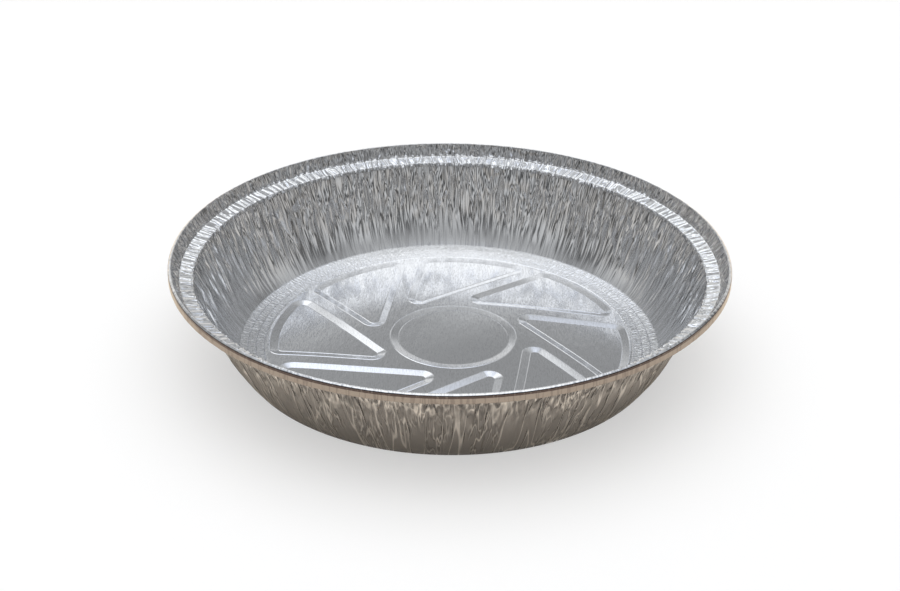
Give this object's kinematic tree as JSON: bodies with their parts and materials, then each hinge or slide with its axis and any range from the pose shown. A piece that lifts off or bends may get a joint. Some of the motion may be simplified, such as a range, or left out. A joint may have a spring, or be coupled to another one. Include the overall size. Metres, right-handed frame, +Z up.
{
  "type": "foil pie tin",
  "caption": "Round shallow tin of thin wrinkled aluminium foil, with a sloping wall, a ledge and flared curled lip, and a base pressed with panels in a pinwheel.",
  "frame": {"origin": "middle of the underside, in the plane that the pressed panels rest on", "axes": "+Z up out of the mouth, +X to the right and +Y away in the picture's view"},
  "size_m": [0.23, 0.23, 0.0428],
  "materials": {
    "foil": "satin rolled foil, bright and finely grained"
  },
  "bodies": {
    "root": {"foil_tin": "foil"}
  },
  "joints": []
}
